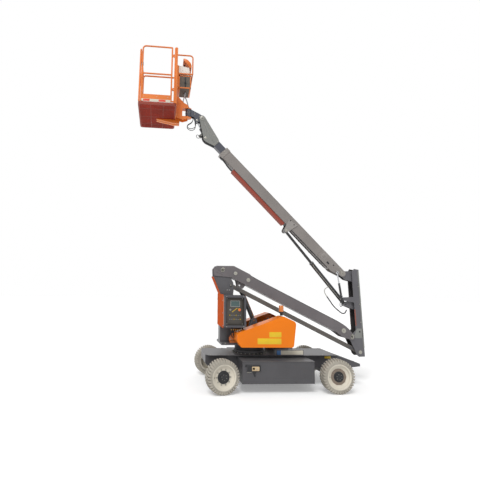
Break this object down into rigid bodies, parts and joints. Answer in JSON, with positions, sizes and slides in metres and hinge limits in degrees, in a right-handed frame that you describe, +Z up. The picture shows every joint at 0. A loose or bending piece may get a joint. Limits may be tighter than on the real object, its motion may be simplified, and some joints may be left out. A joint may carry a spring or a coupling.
{
  "type": "articulating boom lift",
  "caption": "Wheeled articulating boom lift with steering, slewing turntable, lower boom, upright, luffing telescopic upper boom and a caged platform.",
  "frame": {"origin": "on the ground, on the slewing axis of the turntable", "axes": "+X forward to the steered wheels and the platform, +Y to the machine's left, +Z up"},
  "size_m": [4.4903, 1.7794, 6.3531],
  "materials": {
    "dark_grey": "satin",
    "black_paint": "satin",
    "rod_chrome": "polished",
    "cast_grey": "matte",
    "orange_paint": "gloss",
    "orange_plastic": "gloss",
    "panel_grey": "satin",
    "black_plastic": "matte",
    "amber_plastic": "gloss",
    "boom_grey": "satin",
    "blue_grey_paint": "satin",
    "red_brown_paint": "matte",
    "tyre_grey": "matte",
    "rim_white": "satin"
  },
  "bodies": {
    "root": {"chassis_frame": "dark_grey", "battery_boxes": "dark_grey", "front_axle": "dark_grey", "rear_axle": "dark_grey", "slew_ring": "dark_grey", "steer_cylinder": "black_paint"},
    "knuckle_left": {"knuckle_left": "dark_grey"},
    "knuckle_right": {"knuckle_right": "dark_grey"},
    "tie_rod": {"tie_rod": "black_paint"},
    "steer_rod": {"steer_rod": "rod_chrome"},
    "wheel_front_left": {"tyre_front_left": "tyre_grey", "rim_front_left": "rim_white"},
    "wheel_front_right": {"tyre_front_right": "tyre_grey", "rim_front_right": "rim_white"},
    "wheel_rear_left": {"tyre_rear_left": "tyre_grey", "rim_rear_left": "rim_white"},
    "wheel_rear_right": {"tyre_rear_right": "tyre_grey", "rim_rear_right": "rim_white"},
    "turntable": {"turntable_frame": "dark_grey", "counterweight": "cast_grey", "front_cover": "orange_paint", "control_box": "panel_grey"},
    "hood_left": {"hood_left": "orange_plastic", "beacon_base": "black_plastic", "beacon_lens": "amber_plastic"},
    "hood_right": {"hood_right": "orange_plastic"},
    "lower_boom": {"lower_boom": "boom_grey"},
    "lower_link": {"lower_link": "dark_grey"},
    "lift_cylinder": {"lift_cylinder": "black_paint"},
    "lift_rod": {"lift_rod": "rod_chrome"},
    "rear_upright": {"rear_upright": "boom_grey"},
    "luff_cylinder": {"luff_cylinder": "black_paint"},
    "luff_rod": {"luff_rod": "rod_chrome"},
    "level_cylinder": {"level_cylinder": "black_paint"},
    "level_rod": {"level_rod": "rod_chrome"},
    "upper_boom": {"upper_boom": "boom_grey", "cable_tray": "red_brown_paint", "cable_chain": "black_plastic"},
    "fly_boom": {"fly_boom": "blue_grey_paint", "slave_cylinder": "black_paint"},
    "slave_rod": {"slave_rod": "rod_chrome"},
    "level_yoke": {"level_yoke": "blue_grey_paint"},
    "platform": {"platform_bracket": "orange_paint", "platform_floor": "red_brown_paint", "platform_rails": "orange_paint", "platform_console": "panel_grey", "tool_tray": "black_plastic"},
    "platform_gate": {"platform_gate": "orange_paint"}
  },
  "joints": [
    {"name": "steer_left", "type": "hinge", "parent": "root", "child": "knuckle_left", "pos_m": [0.65, 0.64, 0.283], "axis": [0, 0, 1], "range_deg": [-47, 23]},
    {"name": "steer_right", "type": "hinge", "parent": "root", "child": "knuckle_right", "pos_m": [0.65, -0.64, 0.283], "axis": [0, 0, 1], "range_deg": [-47, 23]},
    {"name": "tie_rod_pivot", "type": "hinge", "parent": "knuckle_left", "child": "tie_rod", "pos_m": [0.51306, 0.61089, 0.283], "axis": [0, 0, 1], "range_deg": [-23, 47]},
    {"name": "steer_piston", "type": "slide", "parent": "root", "child": "steer_rod", "axis": [0, 1, 0], "range_m": [-0.05377, 0.10883]},
    {"name": "wheel_front_left", "type": "hinge", "parent": "knuckle_left", "child": "wheel_front_left", "pos_m": [0.62921, 0.73781, 0.283], "axis": [-0.2079, 0.9781, 0], "continuous": true},
    {"name": "wheel_front_right", "type": "hinge", "parent": "knuckle_right", "child": "wheel_front_right", "pos_m": [0.67079, -0.73781, 0.283], "axis": [-0.2079, 0.9781, 0], "continuous": true},
    {"name": "wheel_rear_left", "type": "hinge", "parent": "root", "child": "wheel_rear_left", "pos_m": [-1.37, 0.74, 0.283], "axis": [0, 1, 0], "continuous": true},
    {"name": "wheel_rear_right", "type": "hinge", "parent": "root", "child": "wheel_rear_right", "pos_m": [-1.37, -0.74, 0.283], "axis": [0, 1, 0], "continuous": true},
    {"name": "slew", "type": "hinge", "parent": "root", "child": "turntable", "pos_m": [0, 0, 0.59], "axis": [0, 0, 1], "range_deg": [-177.5, 177.5]},
    {"name": "hood_left_open", "type": "hinge", "parent": "turntable", "child": "hood_left", "pos_m": [-0.6, 0.57, 0.75], "axis": [0, 0, 1], "range_deg": [0, 95]},
    {"name": "hood_right_open", "type": "hinge", "parent": "turntable", "child": "hood_right", "pos_m": [-0.6, -0.57, 0.75], "axis": [0, 0, -1], "range_deg": [0, 95]},
    {"name": "lower_boom_raise", "type": "hinge", "parent": "turntable", "child": "lower_boom", "pos_m": [0.535, 0, 2.074], "axis": [0, 1, 0], "range_deg": [0, 70]},
    {"name": "lower_link_swing", "type": "hinge", "parent": "turntable", "child": "lower_link", "pos_m": [0.375, 0, 1.794], "axis": [0, 1, 0], "range_deg": [0, 70]},
    {"name": "upright_stay", "type": "hinge", "parent": "lower_boom", "child": "rear_upright", "pos_m": [-1.99155, 0, 0.85098], "axis": [0, 1, 0], "range_deg": [-70, 0]},
    {"name": "lift_cylinder_tilt", "type": "hinge", "parent": "turntable", "child": "lift_cylinder", "pos_m": [-0.088, 0, 1.137], "axis": [0, -1, 0], "range_deg": [-0.2, 15.12]},
    {"name": "lift_rod_stroke", "type": "slide", "parent": "lift_cylinder", "child": "lift_rod", "axis": [0.395, 0, 0.9187], "range_m": [-0.001, 0.44376]},
    {"name": "upper_boom_luff", "type": "hinge", "parent": "rear_upright", "child": "upper_boom", "pos_m": [-1.87055, 0, 2.06098], "axis": [0, -1, 0], "range_deg": [-35.6, 21]},
    {"name": "luff_cylinder_tilt", "type": "hinge", "parent": "rear_upright", "child": "luff_cylinder", "pos_m": [-1.92256, 0, 1.46398], "axis": [0, -1, 0], "range_deg": [-26.82, 15.9]},
    {"name": "luff_rod_stroke", "type": "slide", "parent": "luff_cylinder", "child": "luff_rod", "axis": [0.6372, 0, 0.7707], "range_m": [-0.23729, 0.14039]},
    {"name": "level_cylinder_tilt", "type": "hinge", "parent": "rear_upright", "child": "level_cylinder", "pos_m": [-1.80756, 0.126, 1.57098], "axis": [0, -1, 0], "range_deg": [-1.51, 0.97]},
    {"name": "level_rod_stroke", "type": "slide", "parent": "level_cylinder", "child": "level_rod", "axis": [0.1363, 0, 0.9907], "range_m": [-0.08078, 0.04806]},
    {"name": "fly_boom_extend", "type": "slide", "parent": "upper_boom", "child": "fly_boom", "axis": [0.6997, 0, 0.7145], "range_m": [-0.18, 1.8]},
    {"name": "slave_rod_stroke", "type": "slide", "parent": "fly_boom", "child": "slave_rod", "axis": [0.4282, 0, 0.9037], "range_m": [-0.04113, 0.06904]},
    {"name": "platform_level", "type": "hinge", "parent": "fly_boom", "child": "level_yoke", "pos_m": [0.97173, 0, 5.14208], "axis": [0, -1, 0], "range_deg": [-21, 35.6]},
    {"name": "platform_rotate", "type": "hinge", "parent": "level_yoke", "child": "platform", "pos_m": [1.25273, 0, 5.24208], "axis": [0, 0, 1], "range_deg": [-80, 80]},
    {"name": "gate_swing", "type": "hinge", "parent": "platform", "child": "platform_gate", "pos_m": [1.59773, 0.55, 5.64208], "axis": [0, 0, -1], "range_deg": [0, 90]}
  ],
  "couplings": [
    {"joint": "steer_right", "follows": "steer_left", "ratio": 1},
    {"joint": "tie_rod_pivot", "follows": "steer_left", "ratio": -1},
    {"joint": "steer_piston", "follows": "steer_left", "m_per_rad": -0.13145},
    {"joint": "lower_link_swing", "follows": "lower_boom_raise", "ratio": 1},
    {"joint": "upright_stay", "follows": "lower_boom_raise", "ratio": -1},
    {"joint": "lift_cylinder_tilt", "follows": "lower_boom_raise", "ratio": 0.2131},
    {"joint": "lift_rod_stroke", "follows": "lower_boom_raise", "m_per_rad": 0.3624},
    {"joint": "luff_cylinder_tilt", "follows": "upper_boom_luff", "ratio": 0.7478},
    {"joint": "luff_rod_stroke", "follows": "upper_boom_luff", "m_per_rad": 0.3803},
    {"joint": "level_cylinder_tilt", "follows": "upper_boom_luff", "ratio": 0.0369},
    {"joint": "level_rod_stroke", "follows": "upper_boom_luff", "m_per_rad": 0.1284},
    {"joint": "slave_rod_stroke", "follows": "upper_boom_luff", "m_per_rad": -0.1095},
    {"joint": "platform_level", "follows": "upper_boom_luff", "ratio": -1}
  ]
}
